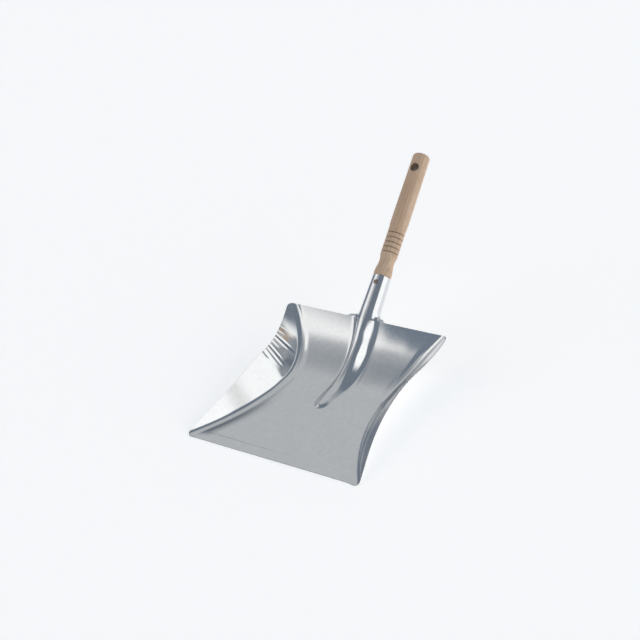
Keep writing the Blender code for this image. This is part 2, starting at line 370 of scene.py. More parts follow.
def new_material(name: str) -> tuple[bpy.types.Material, Graph, bpy.types.Node]:
    """An empty Principled material.

    Args:
        name: The material's name.

    Returns:
        The material, its graph and its shader node.
    """
    material = bpy.data.materials.new(name)
    material.use_nodes = True
    return material, Graph(material.node_tree), material.node_tree.nodes["Principled BSDF"]


# ---------------------------------------------------------------- finishes


@dataclass(frozen=True)
class ZincFinish:
    """Bright zinc plating on cold-rolled sheet, with a faint mottle, rolling lines and a painted
    shade beside the left crease.
    """

    name: str = "zinc_plating"
    light: Colour = (0.79, 0.805, 0.82)
    dark: Colour = (0.73, 0.745, 0.765)
    roughness: float = 0.115
    roughness_spread: float = 0.05
    mottle_scale: float = 210.0
    cloud_scale: float = 26.0
    line_scale: float = 900.0
    bump: float = 0.028
    bump_distance: float = 0.0006
    # Painted shade beside the left crease: its dark colour, where it starts inside the crease, its
    # soft edge, its reach over the risers, and its front and back ends with their fades.
    crease_shade: Colour = (0.27, 0.31, 0.35)
    crease_shade_from: float = 0.0050
    crease_shade_soft: float = 0.0030
    crease_shade_risers: float = 2.2
    crease_shade_ends: Span = (0.004, 0.135)
    crease_shade_fades: Span = (0.012, 0.095)

    def crease_shade_share(self, graph: Graph, place: Socket, pan: "Pan") -> Socket:
        """Share of the painted shade that darkens the plating beside the left crease.

        Args:
            graph: The material's graph.
            place: Position on the piece.
            pan: The pan, for its crease and trough.

        Returns:
            The share, from 0 to 1.
        """
        x, y, _ = graph.split(place)
        blank, marks = pan.blank, pan.relief
        station = y - pan.mouth_y
        rate = (blank.half_width - blank.crease_half_width) / blank.crease_station ** 2
        crease = (station - blank.crease_station) ** 2.0 * rate + blank.crease_half_width
        inside = crease + x
        crease_shade_band = inside.step(self.crease_shade_from, self.crease_shade_from + self.crease_shade_soft)
        crease_shade_band = crease_shade_band * inside.step(marks.trough + self.crease_shade_risers * marks.riser, marks.trough)
        (front, back), (front_fade, back_fade) = self.crease_shade_ends, self.crease_shade_fades
        return (crease_shade_band * station.step(back, back - back_fade)
                * station.step(front, front + front_fade))

    def material(self, pan: "Pan") -> bpy.types.Material:
        """The plating's material, for a given pan."""
        material, graph, shader = new_material(self.name)
        place = graph.place()
        mottle = graph.noise(place, self.mottle_scale, 4.0, 0.6)
        cloud = graph.noise(place, self.cloud_scale, 3.0, 0.55)
        lines = graph.noise(graph.mapped(place, (1.0, 0.03, 0.05)), self.line_scale, 3.0, 0.6)
        cells = graph.node("ShaderNodeTexVoronoi", {"feature": "F1"}, out="Color",
                           Vector=place, Scale=self.mottle_scale * 1.6)
        grain = graph.split(cells)[0]
        tone = mottle * 0.35 + cloud * 0.35 + lines * 0.15 + grain * 0.15
        colour = graph.mix(tone.step(0.30, 0.70), self.dark, self.light)
        rough = (mottle * 0.4 + cloud * 0.35 + grain * 0.25 - 0.5) * self.roughness_spread
        height = mottle * 0.5 + lines * 0.25 + cloud * 0.6
        # Painted shade: the plating's colour is darkened beside the left crease.
        graph.fit(shader, Base_Color=graph.mix(self.crease_shade_share(graph, place, pan), colour, self.crease_shade),
                  Roughness=rough + self.roughness, Metallic=1.0,
                  Normal=graph.bump(height, self.bump, self.bump_distance))
        return material


@dataclass(frozen=True)
class CutEdgeFinish:
    """Sheared edge of the sheet: steel with a torn, duller band."""

    name: str = "sheared_edge"
    light: Colour = (0.40, 0.40, 0.40)
    dark: Colour = (0.20, 0.20, 0.20)
    torn_scale: float = 1400.0

    def material(self) -> bpy.types.Material:
        """The edge's material."""
        material, graph, shader = new_material(self.name)
        torn = graph.noise(graph.place(), self.torn_scale, 4.0, 0.65)
        graph.fit(shader, Base_Color=graph.mix(torn.step(0.35, 0.65), self.dark, self.light),
                  Roughness=torn * 0.25 + 0.35, Metallic=1.0)
        return material


@dataclass(frozen=True)
class BeechFinish:
    """Turned beech under thin varnish, with its grain along the handle's axis and a painted shade
    inside its hanging hole.
    """

    name: str = "turned_beech"
    base: Colour = (0.69, 0.47, 0.32)
    pale: Colour = (0.80, 0.60, 0.43)
    ring: Colour = (0.49, 0.31, 0.198)
    # Dark brown of the ring grooves, also used for the painted shade inside the hanging hole.
    dark_grooves_and_hole_shade: Colour = (0.17, 0.10, 0.06)
    fleck: Colour = (0.33, 0.185, 0.11)
    pith: Span = (0.034, -0.021)
    ring_pitch: float = 0.0031
    bump: float = 0.22
    bump_distance: float = 0.0004
    coat: float = 0.12
    coat_roughness: float = 0.25

    @staticmethod
    def stretched(graph: Graph, local: Socket, along: float, scale: float, detail: float,
                  roughness: float) -> Socket:
        """Noise drawn out along the handle's axis; along is its share of the scale there."""
        return graph.noise(graph.mapped(local, (1.0, 1.0, along)), scale, detail, roughness)

    def material(self, handle: "Handle", socket: "Socketed") -> bpy.types.Material:
        """The wood's material.

        Args:
            handle: The handle, for its grooves, end and the painted shade in its hole.
            socket: The socket, for the axis.

        Returns:
            The material.
        """
        material, graph, shader = new_material(self.name)
        turn = socket.matrix(Square.ALONG, 0.0)
        local = graph.mapped(graph.place(), (1.0, 1.0, 1.0), tuple(turn.translation),
                             tuple(turn.to_euler()), "TEXTURE")
        x, y, z = graph.split(local)
        drift = self.stretched(graph, local, 0.10, 60.0, 3.0, 0.5)
        from_pith = ((x - self.pith[0]) ** 2.0 + (y - self.pith[1]) ** 2.0) ** 0.5
        phase = from_pith / self.ring_pitch + drift * 1.6
        wave = graph.math("SINE", phase * (2 * math.pi))
        rings = (wave * 0.5 + 0.5) ** 2.2
        fibre = self.stretched(graph, local, 0.018, 1500.0, 4.0, 0.65)
        patch = self.stretched(graph, local, 0.25, 45.0, 2.0, 0.5)
        fleck = self.stretched(graph, local, 0.11, 1350.0, 1.0, 0.4)
        wood = graph.mix(patch.step(0.25, 0.75), self.base, self.pale)
        wood = graph.mix(rings * 0.42, wood, self.ring)
        wood = graph.mix(fibre.step(0.42, 0.70) * 0.38, wood, self.ring)
        wood = graph.mix(fleck.step(0.66, 0.74) * 0.65, wood, self.fleck)
        nearest = graph.math("ROUND", (z - handle.groove_first) / handle.groove_pitch)
        nearest = nearest.most(0.0).least(handle.groove_count - 1.0)
        groove = (z - nearest * handle.groove_pitch - handle.groove_first).abs()
        wood = graph.mix(groove.step(0.0012, 0.0001) * 0.75, wood, self.dark_grooves_and_hole_shade)
        end = z.step(handle.length - 0.0016, handle.length - 0.0004)
        wood = graph.mix(end * 0.45, wood, self.ring)
        # Painted shade: the wall and mouth of the hanging hole are darkened towards the dark
        # brown.
        bore = (x ** 2.0 + (z - handle.hole_at) ** 2.0) ** 0.5
        inside = bore.step(handle.hole_radius + 0.0011, handle.hole_radius - 0.0001)
        wood = graph.mix(inside * 0.8, wood, self.dark_grooves_and_hole_shade)
        height = fibre * -0.7 + rings * -0.15 + fleck * -0.3
        graph.fit(shader, Base_Color=wood, Roughness=fibre * 0.16 + rings * 0.05 + 0.40,
                  Normal=graph.bump(height, self.bump, self.bump_distance),
                  Coat_Weight=self.coat, Coat_Roughness=self.coat_roughness)
        return material


@dataclass(frozen=True)
class NailFinish:
    """Hammered steel nail head, dulled and slightly rusted."""

    name: str = "dull_nail_steel"
    bare: Colour = (0.40, 0.36, 0.33)
    rust: Colour = (0.19, 0.125, 0.085)
    stain_scale: float = 900.0
    bump: float = 0.35
    bump_distance: float = 0.0003

    def material(self) -> bpy.types.Material:
        """The nail's material."""
        material, graph, shader = new_material(self.name)
        stain = graph.noise(graph.place(), self.stain_scale, 4.0, 0.6)
        graph.fit(shader, Base_Color=graph.mix(stain.step(0.38, 0.62), self.bare, self.rust),
                  Metallic=0.9 - stain.step(0.42, 0.62) * 0.6, Roughness=stain * 0.3 + 0.32,
                  Normal=graph.bump(stain, self.bump, self.bump_distance))
        return material


# ---------------------------------------------------------------- the pressed sheet


@dataclass
class Wall:
    """Side view of the sheet: a flat floor that curves up into the back wall."""

    mouth_y: float
    sheet: float
    floor_length: float = 0.150
    radius: float = 0.105
    angle: float = 60.8

    @property
    def turn(self) -> float:
        """Full turn of the wall in radians."""
        return math.radians(self.angle)

    @property
    def back(self) -> float:
        """Station of the back edge."""
        return self.floor_length + self.radius * self.turn

    def at(self, s: float) -> tuple[Vector, Vector, Vector]:
        """Point, tangent and upward normal of the sheet's middle.

        Args:
            s: Station.

        Returns:
            The point, the tangent towards the back and the normal.
        """
        turn = max(s - self.floor_length, 0.0) / self.radius
        sin, cos = math.sin(turn), math.cos(turn)
        point = Vector((0, self.mouth_y + min(s, self.floor_length) + self.radius * sin,
                        self.sheet / 2 + self.radius * (1 - cos)))
        return point, Vector((0, cos, sin)), Vector((0, -sin, cos))


@dataclass
class Blank:
    """Flat outline of the sheet and its curved creases."""

    back: float
    half_width: float = 0.115
    front_corner: float = 0.006
    back_corner: float = 0.008
    waist: float = 0.0035
    waist_length: float = 0.155
    crease_half_width: float = 0.0696
    crease_station: float = 0.152
    crease_back_rate: float = 3.2
    half_bend: float = 0.0042
    flap_angle: float = 51.0

    @property
    def fold(self) -> float:
        """Fold of the flaps in radians."""
        return math.radians(self.flap_angle)

    def crease(self, s: float) -> tuple[float, float]:
        """Distance of the crease from the middle, and its slope, at station s."""
        ahead = s - self.crease_station
        rate = (self.half_width - self.crease_half_width) / self.crease_station ** 2
        if ahead > 0:
            rate = self.crease_back_rate
        return self.crease_half_width + rate * ahead ** 2, 2 * rate * ahead

    def edge(self, s: float) -> float:
        """Distance of the side edge from the middle, with its rounded corners."""
        edge = self.half_width
        if s < self.waist_length:
            edge -= self.waist * math.sin(math.pi * s / self.waist_length) ** 2
        for corner, reach in ((self.front_corner, s), (self.back_corner, self.back - s)):
            if reach < corner:
                edge -= corner - math.sqrt(max(corner ** 2 - (corner - reach) ** 2, 0.0))
        return edge


@dataclass
class Relief:
    """Shallow press marks: the floor panel, its lip, the wall's crown and the flaps' puckers.

    A pair of stations named _over is where a change starts and where it is complete.
    """

    lip: float = 0.0135
    lip_run: float = 0.0026
    lip_left: float = 0.0009
    lip_right: float = 0.00022
    trough: float = 0.0072
    riser: float = 0.0085
    riser_back: float = 0.0068
    height: float = 0.0012
    height_middle: float = 0.0005
    height_back: float = 0.0008
    riser_over: Span = (0.06, 0.17)
    middle_over: Span = (0.045, 0.105)
    back_over: Span = (0.165, 0.200)
    lip_over: float = 0.08
    pucker_first: float = 0.134
    pucker_pitch: float = 0.0092
    pucker_count: int = 9
    pucker_depth: float = 0.00038
    pucker_reach: float = 0.027
    crown_places: Span = (0.031, 0.063)
    crown_slopes: Span = (0.024, 0.018)
    crown_soft: float = 0.0018
    crown_over: Span = (0.165, 0.205)

    def crown(self, s: float, a: float) -> float:
        """Slight bulge of the back wall's right half.

        Args:
            s: Station.
            a: Signed distance from the middle.

        Returns:
            The offset along the wall's normal.
        """
        offset = 0.0
        for place, slope in zip(self.crown_places, self.crown_slopes):
            reach = (a - place) / self.crown_soft
            bent = reach if reach > 30 else math.log1p(math.exp(reach))
            offset -= slope * self.crown_soft * bent
        return offset * ramp(s, *self.crown_over)

    def panel(self, s: float, a: float, inside: float) -> float:
        """Height of the floor panel over the trough beside the crease.

        Args:
            s: Station.
            a: Signed distance from the middle.
            inside: Distance from the crease, towards the middle.

        Returns:
            The height along the sheet's normal.
        """
        run = between(self.riser, self.riser_back, ramp(s, *self.riser_over))
        height = between(self.height, self.height_middle, ramp(s, *self.middle_over))
        height += (self.height_back - self.height_middle) * ramp(s, *self.back_over)
        share = min(max((inside - self.trough) / run, 0.0), 1.0)
        side = 1 - (1 - share) ** 2
        across = ramp(a, -self.lip_over, self.lip_over)
        lip_height = between(self.lip_left, self.lip_right, across)
        rise = ramp(s, self.lip, self.lip + self.lip_run)
        front = 1 + (rise - 1) * min(lip_height / height, 1.0)
        return height * side * front

    def pucker(self, s: float, down: float, side: float) -> float:
        """Offset of a flap beside its top edge.

        Args:
            s: Station.
            down: Distance from the flap's top edge.
            side: -1 on the left flap and 1 on the right one.

        Returns:
            The offset along the flap's normal.
        """
        last = self.pucker_first + self.pucker_pitch * self.pucker_count
        if not self.pucker_first - self.pucker_pitch < s < last + self.pucker_pitch:
            return 0.0
        place = (s - self.pucker_first) / self.pucker_pitch
        window = ramp(place, -0.3, 2.2) * ramp(place, self.pucker_count + 0.6,
                                                self.pucker_count - 2.5)
        sway = 0.34 * math.sin(2.3 * place + 0.9 * side) + 0.24 * math.sin(5.1 * place)
        reach = self.pucker_reach * (0.35 + 0.65 * window) * (1 + 0.4 * math.sin(1.9 * place + 2))
        fade = 1 - ramp(down, 0.15 * reach, reach)
        wave = math.sin(2 * math.pi * (place + 0.06 * sway + 0.10 * down / self.pucker_reach))
        sharp = wave + 0.2 * math.sin(4 * math.pi * place + 1.2)
        return self.pucker_depth * window * (0.75 + sway) * fade * sharp


STEEPEST_RIB = 2.2


@dataclass
class RibSection:
    """Outline of the rib at one station, known by its turn from the crest to the foot."""

    width: float
    height: float
    share: float
    hold: float
    fade: float

    def __post_init__(self) -> None:
        """Find the steepest turn and the length that give the width and height."""
        self.steep, self.length = 0.0, self.width
        if self.height < 1e-6:
            return
        shape = np.array([self.shape((i + 0.5) / 200) for i in range(200)])
        low, high = 0.0, STEEPEST_RIB
        for _ in range(32):
            self.steep = (low + high) / 2
            rise = np.sin(self.steep * shape).sum() / np.cos(self.steep * shape).sum()
            if rise < self.height / self.width:
                low = self.steep
            else:
                high = self.steep
        self.length = self.width / float(np.cos(self.steep * shape).mean())

    def shape(self, part: float) -> float:
        """Turn at a part of the length, as a share of the steepest turn."""
        if part < self.share:
            return part / self.share
        if part < self.hold:
            return 1.0
        return max((1 - part) / (1 - self.hold), 0.0) ** self.fade

    def turn(self, a: float) -> float:
        """Turn after the length a from the crest, in radians."""
        return self.steep * self.shape(a / self.length)


@dataclass
class Rib:
    """Stiffening rib raised along the middle, from a blunt nose to the socket.

    Its left flank is the steeper one, and its main rise begins a lead ahead of the nose.
    """

    start: float = 0.1085
    nose: float = 0.020
    nose_height: float = 0.0032
    nose_rise: float = 0.007
    lead: float = 0.01
    rise_end: float = 0.224
    left_width: float = 0.0110
    right_width: float = 0.0235
    nose_width: float = 0.0150
    spread_end: float = 0.165
    height: float = 0.0116
    drop_start: float = 0.242
    widen_start: float = 0.190
    end_half_width: float = 0.0200
    end_height: float = 0.0085
    crest_share: float = 0.32
    hold: float = 0.62
    fade: float = 1.25
    first_width: float = 0.30

    def section(self, s: float, back: float, side: float = 1.0) -> RibSection:
        """Section at station s.

        Args:
            s: Station.
            back: Station of the back edge.
            side: -1 for the left half, which is the steeper one, and 1 for the right half.

        Returns:
            The half section.
        """
        half_width = self.left_width
        if side > 0:
            half_width = between(self.nose_width, self.right_width,
                                 ramp(s, self.start, self.spread_end))
        if s <= self.start:
            return RibSection(half_width * self.first_width, 0.0, self.crest_share, self.hold,
                              self.fade)
        nose = min((s - self.start) / self.nose, 1.0)
        drop = max((s - self.drop_start) / (back - self.drop_start), 0.0) ** 2
        widen = max((s - self.widen_start) / (back - self.widen_start), 0.0) ** 1.3
        width = between(half_width, self.end_half_width, widen)
        width *= max(math.sqrt(1 - (1 - nose) ** 2), self.first_width)
        height = self.nose_height * ramp(s, self.start, self.start + self.nose_rise)
        height += (self.height - self.nose_height) * ramp(s, self.start - self.lead,
                                                          self.rise_end)
        height -= (self.height - self.end_height) * drop
        return RibSection(width, height, self.crest_share, self.hold, self.fade)


@dataclass
class Socketed:
    """The rolled socket and the axis that the handle and nail share."""

    mouth_y: float
    angle: float = 42.5
    rim_y: float = 0.2888
    rim_z: float = 0.0904
    radius: float = 0.0117
    root_radius: float = 0.0136
    blend: float = 0.014
    lean_run: float = 0.010
    root: float = 0.024
    fillet: float = 0.007
    root_edge: float = 0.0275
    seam: float = 0.0009

    @property
    def incline(self) -> float:
        """Rise of the axis in radians."""
        return math.radians(self.angle)

    @property
    def axis(self) -> Vector:
        """Direction of the axis, towards the handle's end."""
        return Vector((0, math.cos(self.incline), math.sin(self.incline)))

    @property
    def up(self) -> Vector:
        """Upward direction square to the axis."""
        return Vector((0, -math.sin(self.incline), math.cos(self.incline)))

    @property
    def rim(self) -> Vector:
        """Centre of the socket's mouth."""
        return Vector((0, self.mouth_y + self.rim_y, self.rim_z))

    def matrix(self, stand: Square, along: float) -> Matrix:
        """Place of a piece modelled along Z.

        Args:
            stand: Along the axis or square to it.
            along: Distance from the socket's mouth along the axis.

        Returns:
            The placing matrix.
        """
        forward = self.axis if stand is Square.ALONG else self.up
        side = Vector((1, 0, 0))
        turn = Matrix((side, forward.cross(side), forward)).transposed()
        return Matrix.Translation(self.rim + along * self.axis) @ turn.to_4x4()


def outline(lengths: Sequence[float], turn: Callable[[float], float]) -> list[tuple[float, float]]:
    """Points along a curve that is known by its turn.

    Args:
        lengths: Lengths from the crest, rising.
        turn: The curve's turn from level at a length, in radians.

    Returns:
        (across, down) for each length.
    """
    fine = np.linspace(0, max(lengths[-1], 1e-6), 500)
    turns = np.array([turn(a) for a in fine])
    middle = (turns[1:] + turns[:-1]) / 2
    step = fine[1] - fine[0]
    across = np.concatenate(([0], np.cumsum(np.cos(middle)) * step))
    down = np.concatenate(([0], np.cumsum(np.sin(middle)) * step))
    return [(float(np.interp(a, fine, across)), float(np.interp(a, fine, down)))
            for a in lengths]


@dataclass
class Pan:
    """The pan and its socket, pressed and rolled from one sheet."""

    mouth_y: float
    sheet: float = 0.0008
    rib_columns: int = 16
    flange_columns: int = 6
    floor_columns: int = 12
    riser_columns: int = 9
    trough_columns: int = 5
    bend_columns: int = 8
    flap_columns: int = 15
    tongue_rows: int = 44
    thin: float = 0.00035
    panel_inside: float = 0.09
    pucker_start: float = 0.004
    weld: float = 0.000005
    nail_at: float = -0.0103
    nail_hole: float = 0.0032
    relief: Relief = field(default_factory=Relief)
    rib: Rib = field(default_factory=Rib)

    def __post_init__(self) -> None:
        """Set up the shapes that share the sheet's sizes."""
        self.wall = Wall(self.mouth_y, self.sheet)
        self.blank = Blank(self.wall.back)
        self.socket = Socketed(self.mouth_y)
        self.rib_end = self.rib.section(self.wall.back, self.wall.back)
        base = self.relief.panel(self.wall.back, 0.0, self.panel_inside)
        point, _, normal = self.wall.at(self.wall.back)
        self.crest = point + (self.rib_end.height + base) * normal - self.socket.rim

    def stations(self) -> list[float]:
        """Stations of the sheet's rows, from the mouth to the back edge."""
        corner, back = self.blank.front_corner, self.blank.back_corner
        front = corner_steps(corner, 7) + [corner] + even(corner, 0.0125, 4)
        lip = even(0.0125, 0.018, 9)
        middle = even(0.018, self.rib.start, 34)
        nose = [self.rib.start + self.rib.nose * (i / 16) ** 1.6 for i in range(1, 17)]
        rear = even(nose[-1], self.wall.back - back, 118)
        end = [self.wall.back - d for d in reversed(corner_steps(back, 9))]
        return front + lip + middle + nose + rear + end

    def folded(self, s: float, a: float, lift: float) -> Vector:
        """Point of the floor or a flap.

        Args:
            s: Station.
            a: Distance from the middle, in the blank.
            lift: Offset along the surface's normal.

        Returns:
            The point, on the +X side.
        """
        point, tangent, normal = self.wall.at(s)
        crease, slope = self.blank.crease(s)
        half, fold = self.blank.half_bend, self.blank.fold
        start = crease - half
        side = Vector((1, 0, 0))
        if a <= start:
            return point + a * side + lift * normal
        run = a - start
        bend = min(run / (2 * half), 1.0)
        radius = 2 * half / fold
        past = max(run - 2 * half, 0.0)
        across = radius * math.sin(fold * bend) + past * math.cos(fold)
        rise = radius * (1 - math.cos(fold * bend)) + past * math.sin(fold)
        lean = math.atan(-slope)
        sin, cos = math.sin(lean), math.cos(lean)
        inward = Vector((-cos, 0, 0)) + sin * tangent
        face = math.cos(fold * bend) * normal + math.sin(fold * bend) * inward
        return (point + (start + sin ** 2 * run + cos ** 2 * across) * side
                - sin * cos * (run - across) * tangent + cos * rise * normal + lift * face)

    def half_row(self, s: float, side: float) -> list[Vector]:
        """Points of the sheet's middle from the plane of symmetry outwards.

        Args:
            s: Station.
            side: -1 for the left half and 1 for the right one.

        Returns:
            The points, mirrored to +X.
        """
        point, _, normal = self.wall.at(s)
        section = self.rib.section(s, self.wall.back, side)
        lengths = [0.0] + even(0.0, section.length, self.rib_columns)
        rib = outline(lengths, section.turn)
        edge, (crease, _) = self.blank.edge(s), self.blank.crease(s)
        half, thin, marks = self.blank.half_bend, self.thin, self.relief
        flap = min(crease + half, edge - 2 * thin)
        bend = min(crease - half, flap - 4 * thin)
        trough = min(crease - marks.trough, bend - 2 * thin)
        panel = min(crease - marks.trough - marks.riser, trough - 2 * thin)
        spans = (even(section.width, self.socket.root_edge, self.flange_columns)
                 + even(self.socket.root_edge, panel, self.floor_columns)
                 + even(panel, trough, self.riser_columns)
                 + even(trough, bend, self.trough_columns)
                 + even(bend, flap, self.bend_columns)
                 + even(flap, edge, self.flap_columns))
        row = []
        for across, down in rib:
            lift = marks.panel(s, side * across, crease - across)
            row.append(point + Vector((across, 0, 0))
                       + (section.height - down + lift) * normal)
        for a in spans:
            lift = marks.panel(s, side * a, crease - a)
            if a > flap:
                lift = marks.pucker(s, edge - a, side) * ramp(a, flap, flap + self.pucker_start)
            crown = marks.crown(s, side * min(a, crease)) * normal
            row.append(self.folded(s, a, lift) + crown)
        return row

    def pan_rows(self) -> list[list[Vector]]:
        """Rows of points of the whole pan, from its left edge to its right one."""
        return [self.both(self.half_row(s, -1.0), self.half_row(s, 1.0))
                for s in self.stations()]

    @staticmethod
    def both(left: Sequence[Vector], right: Sequence[Vector]) -> list[Vector]:
        """One row from edge to edge, from two halves that both run outwards on +X."""
        return [Vector((-p.x, p.y, p.z)) for p in reversed(left[1:])] + list(right)

    def tongue_row(self, reach: float, share: Sequence[float]) -> list[Vector]:
        """Points of the tongue's middle behind the back edge.

        Args:
            reach: Distance of the crest past the back edge.
            share: Each point's place as a fraction of the half width.

        Returns:
            The points from the crest outwards, on the +X side.
        """
        socket, rib = self.socket, self.rib_end
        first = self.crest.dot(socket.axis)
        place = first + reach
        blend = ramp(reach, 0.0, socket.blend)
        run = (place - first) / -first
        radius = between(socket.root_radius, socket.radius, run)
        crest = radius + (self.crest.dot(socket.up) - socket.root_radius) * (1 - blend)
        lean = (self.wall.turn - socket.incline) * (1 - ramp(reach, 0.0, socket.lean_run))
        up = math.cos(lean) * socket.up - math.sin(lean) * socket.axis
        half = socket.root + (math.pi * socket.radius - socket.seam / 2 - socket.root) * run
        if reach < socket.fillet:
            half += socket.fillet - math.sqrt(socket.fillet ** 2 - (socket.fillet - reach) ** 2)

        def turn(a: float) -> float:
            """Turn of the section, between the rib's and the tube's."""
            return (1 - blend) * rib.turn(a) + blend * a / radius

        origin = socket.rim + place * socket.axis + crest * socket.up
        points = outline([half * f for f in share], turn)
        return [origin + Vector((across, 0, 0)) - down * up for across, down in points]

    def tongue_rows_of(self, first: list[Vector]) -> list[list[Vector]]:
        """Rows of the tongue, from the back edge's own points to the socket's mouth."""
        socket, rib = self.socket, self.rib_end
        full = rib.length + socket.root_edge - rib.width
        lengths = [0.0] + even(0.0, rib.length, self.rib_columns)
        lengths += even(rib.length, full, self.flange_columns)
        share = [a / full for a in lengths]
        reaches = corner_steps(socket.fillet, 12)[1:] + [socket.fillet]
        reaches += even(socket.fillet, -self.crest.dot(socket.axis), self.tongue_rows)
        rows = [first]
        for reach in reaches:
            half = self.tongue_row(reach, share)
            rows.append(self.both(half, half))
        return rows

    @staticmethod
    def pressed(name: str, rows: list[list[Vector]]) -> bpy.types.Object:
        """A flat grid pressed onto rows of points.

        Args:
            name: The new object's name.
            rows: Points, row by row, all rows alike in length.

        Returns:
            The pressed sheet, one point thick.
        """
        across, along = len(rows[0]) - 1, len(rows) - 1
        deselect()
        bpy.ops.mesh.primitive_grid_add(x_subdivisions=across, y_subdivisions=along, size=2.0,
                                        location=(0, 0, 0))
        blank = added(name)
        for vertex in blank.data.vertices:
            column = round((vertex.co.x + 1) / 2 * across)
            row = round((vertex.co.y + 1) / 2 * along)
            vertex.co = rows[row][column]
        return blank

    def build(self) -> bpy.types.Object:
        """Press the sheet, roll its socket, thicken it and punch the nail's hole."""
        rows = self.pan_rows()
        inner = self.rib_columns + self.flange_columns
        middle = len(rows[-1]) // 2
        pan = self.pressed("pan_sheet", rows)
        tongue = self.pressed("tongue", self.tongue_rows_of(
            rows[-1][middle - inner:middle + inner + 1]))
        pick(pan)
        tongue.select_set(True)
        bpy.ops.object.join()
        bpy.ops.object.mode_set(mode="EDIT")
        bpy.ops.mesh.select_all(action="SELECT")
        bpy.ops.mesh.remove_doubles(threshold=self.weld)
        bpy.ops.object.mode_set(mode="OBJECT")
        pan.data.materials.append(ZincFinish().material(self))
        pan.data.materials.append(CutEdgeFinish().material())
        apply_modifier(pan, "SOLIDIFY", thickness=self.sheet, offset=0.0, use_even_offset=True,
                       material_offset_rim=1)
        deselect()
        bpy.ops.mesh.primitive_cylinder_add(vertices=40, radius=self.nail_hole,
                                            depth=2 * self.socket.radius, location=(0, 0, 0))
        punch = added("punch")
        punch.matrix_world = (self.socket.matrix(Square.ACROSS, self.nail_at)
                              @ Matrix.Translation((0, 0, self.socket.radius)))
        cut(pan, punch)
        smooth(pan, 40.0)
        return pan


# ---------------------------------------------------------------- handle and nail


@dataclass
class Handle:
    """Turned handle: tenon, collar, neck, ring grooves, grip and hanging hole."""

    socket: Socketed
    gap: float = 0.0003
    tenon_length: float = 0.034
    tenon_radius: float = 0.0110
    collar_radius: float = 0.0116
    collar_swell: float = 0.0005
    collar_end: float = 0.0072
    neck_at: float = 0.0215
    neck_radius: float = 0.0099
    groove_first: float = 0.0332
    groove_pitch: float = 0.00673
    groove_count: int = 5
    groove_depth: float = 0.00085
    groove_half: float = 0.0011
    bead_radius: float = 0.0113
    bead_swell: float = 0.00018
    grip_at: float = 0.076
    grip_radius: float = 0.0120
    end_radius: float = 0.0115
    length: float = 0.1745
    end_round: float = 0.0048
    hole_at: float = 0.1524
    hole_radius: float = 0.0054
    hole_flare: float = 0.0012
    hole_flare_depth: float = 0.0026
    hole_past: float = 0.002
    hole_steps: int = 48
    end_insets: tuple[tuple[float, float], ...] = ((0.0022, 0.00025), (0.0022, 0.00012))
    steps: int = 96

    def profile(self) -> list[tuple[float, float]]:
        """(radius, height) points from the tenon's foot to the handle's end."""
        points = [(self.tenon_radius - 0.0012, -self.tenon_length),
                  (self.tenon_radius, -self.tenon_length + 0.0012), (self.tenon_radius, self.gap),
                  (self.collar_radius - 0.0006, self.gap),
                  (self.collar_radius - 0.0002, self.gap + 0.0003),
                  (self.collar_radius, self.gap + 0.0009), (self.collar_radius, 0.0030)]
        for at in even(0.0030, self.neck_at, 16):
            swell = self.collar_swell * math.sin(math.pi * min(at / self.collar_end, 1.0)) ** 2
            drop = ramp(at, self.collar_end, self.neck_at - 0.002)
            points.append((self.collar_radius + swell
                           + (self.neck_radius - self.collar_radius) * drop, at))
        first = self.groove_first - self.groove_pitch / 2
        for at in even(self.neck_at, first, 7):
            swell = ramp(at, self.neck_at + 0.001, first + 0.0005)
            points.append((between(self.neck_radius, self.bead_radius, swell), at))
        for i in range(self.groove_count):
            points += self.groove(self.groove_first + i * self.groove_pitch)
        last = self.groove_first + (self.groove_count - 0.5) * self.groove_pitch
        straight = self.length - self.end_round
        points += self.eased(last, self.grip_at, 5, self.bead_radius, self.grip_radius)
        points += self.eased(self.grip_at, straight, 20, self.grip_radius, self.end_radius)
        for i in range(1, 13):
            angle = math.pi / 2 * i / 12
            points.append((self.end_radius - self.end_round * (1 - math.cos(angle)),
                           straight + self.end_round * math.sin(angle)))
        return points

    @staticmethod
    def eased(start: float, end: float, count: int, first: float,
              last: float) -> list[tuple[float, float]]:
        """Points of a stretch of the profile that eases from a first radius to a last one."""
        return [(between(first, last, ramp(at, start, end)), at)
                for at in even(start, end, count)]

    def groove(self, at: float) -> list[tuple[float, float]]:
        """Points across one ring groove and the two half beads beside it."""
        points = []
        for i in range(1, 15):
            offset = self.groove_pitch * (i / 14 - 0.5)
            bead = self.bead_swell * math.sin(math.pi * abs(offset) / self.groove_pitch)
            notch = max(1 - abs(offset) / self.groove_half, 0.0) ** 1.3
            points.append((self.bead_radius + bead - self.groove_depth * notch, at + offset))
        return points

    def build(self) -> bpy.types.Object:
        """Turn the handle, then drill its hanging hole and put it in its socket."""
        handle = drawn("beech_handle", self.profile(), self.steps, self.end_insets)
        self.drill(handle)
        return placed(handle, self.socket.matrix(Square.ALONG, 0.0),
                      BeechFinish().material(self, self.socket), 28.0)

    def drill(self, handle: bpy.types.Object) -> None:
        """Cut the hanging hole, with flared mouths, square through the handle."""
        reach = self.grip_radius
        points = [(self.hole_radius + 3 * self.hole_flare, -reach - self.hole_past)]
        points += [(self.hole_radius + self.hole_flare * f ** 2,
                    -reach + self.hole_flare_depth * (1 - f)) for f in (1.0, 0.75, 0.5, 0.25, 0.0)]
        points += [(radius, -height) for radius, height in reversed(points)]
        drill = drawn("drill", points, self.hole_steps)
        drill.matrix_world = (Matrix.Translation((0, 0, self.hole_at))
                              @ Matrix.Rotation(math.radians(-90), 4, "X"))
        cut(handle, drill)


